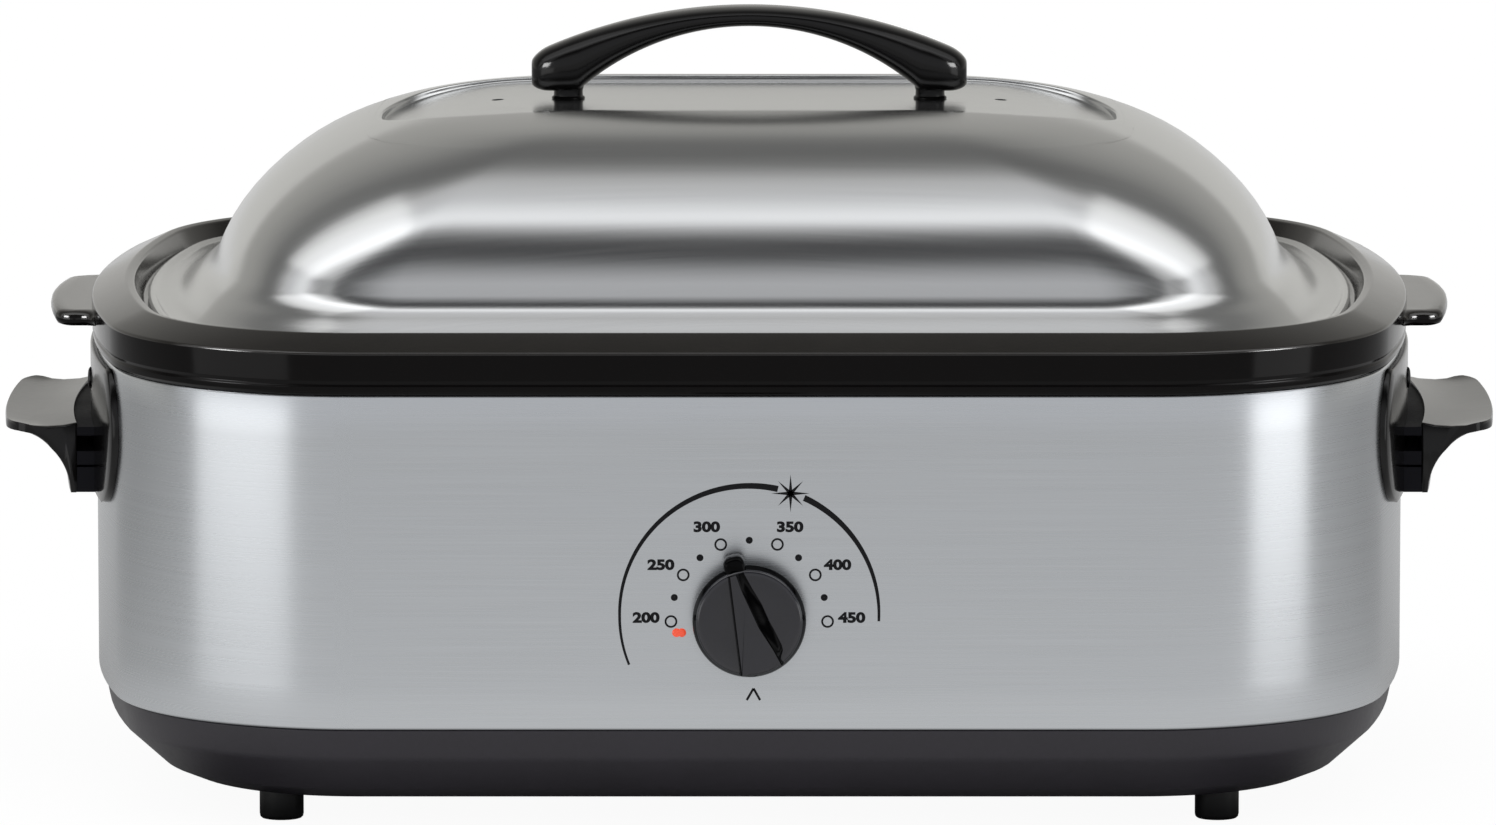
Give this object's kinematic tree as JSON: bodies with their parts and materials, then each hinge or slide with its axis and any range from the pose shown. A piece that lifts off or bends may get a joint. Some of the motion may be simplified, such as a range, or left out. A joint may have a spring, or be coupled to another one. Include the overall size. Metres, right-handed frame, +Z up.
{
  "type": "electric roaster oven",
  "caption": "Countertop electric roaster oven with a lift-off domed steel lid, enamelled lift-out cookwell, brushed steel body, side handles, control knob and feet.",
  "frame": {"origin": "centre of the bounding box's bottom face, in the plane of the feet", "axes": "+X to the right along the oven's length, +Y to the rear, +Z up; the knob faces -Y"},
  "size_m": [0.609, 0.421, 0.3105],
  "materials": {
    "brushed_steel": "fine horizontal grain, satin",
    "brushed_steel_lid": "fine lengthwise grain, satin to bright",
    "pan_paint": "dark grey, satin",
    "black_enamel": "glossy vitreous enamel",
    "liner_steel": "aluminised steel, dull",
    "insulation": "glass fibre felt",
    "heater_mica": "mica and glass sleeve round the heating wire",
    "red_lens": "clear red-orange",
    "lamp_glass": "clear",
    "pale_plastic": "phenolic and ceramic mouldings",
    "plated_steel": "zinc plated",
    "gland_plastic": "matt",
    "knob_plastic": "dark grey face, glossy edge",
    "handle_plastic": "glossy phenolic",
    "foot_plastic": "matt",
    "lead_sleeve": "braided glass sleeve",
    "chrome_wire": "bright plated wire"
  },
  "bodies": {
    "housing": {"outer_shell": "brushed_steel", "base_pan": "pan_paint", "foot_front_left": "foot_plastic", "foot_front_right": "foot_plastic", "foot_rear_left": "foot_plastic", "foot_rear_right": "foot_plastic", "foot_screws": "plated_steel", "tie_bars": "plated_steel", "pan_screws": "plated_steel", "liner": "liner_steel", "heater_band": "heater_mica", "band_clamp": "plated_steel", "clamp_screw": "plated_steel", "insulation_blanket": "insulation", "insulation_pad": "insulation", "thermostat_bracket": "plated_steel", "bracket_screws": "plated_steel", "thermostat_body": "pale_plastic", "sensor_strap": "plated_steel", "pilot_lens": "red_lens", "neon_lamp": "lamp_glass", "lamp_holder": "pale_plastic", "cord_gland": "gland_plastic", "terminal_block": "pale_plastic", "thermal_fuse": "plated_steel", "lead_live": "lead_sleeve", "lead_load": "lead_sleeve", "lead_heater": "lead_sleeve", "side_handle_left": "handle_plastic", "side_handle_right": "handle_plastic", "handle_backing_left": "plated_steel", "handle_backing_right": "plated_steel", "side_handle_screws": "plated_steel"},
    "cookwell": {"cookwell": "black_enamel"},
    "rack": {"rack_frame": "chrome_wire", "rack_wires": "chrome_wire", "rack_lift_left": "chrome_wire", "rack_lift_right": "chrome_wire"},
    "lid": {"lid_shell": "brushed_steel_lid", "lid_handle": "handle_plastic", "lid_washers": "plated_steel", "lid_screws": "plated_steel"},
    "knob": {"knob": "knob_plastic", "knob_clip": "plated_steel", "control_shaft": "plated_steel"}
  },
  "joints": [
    {"name": "cookwell_lift", "type": "slide", "parent": "housing", "child": "cookwell", "axis": [0, 0, 1], "range_m": [0, 0.2]},
    {"name": "lid_lift", "type": "slide", "parent": "cookwell", "child": "lid", "axis": [0, 0, 1], "range_m": [0, 0.25]},
    {"name": "rack_lift", "type": "slide", "parent": "cookwell", "child": "rack", "axis": [0, 0, 1], "range_m": [0, 0.08]},
    {"name": "knob_turn", "type": "hinge", "parent": "housing", "child": "knob", "pos_m": [0, -0.1915, 0.0895], "axis": [0, 1, 0], "range_deg": [-164, 109]}
  ]
}
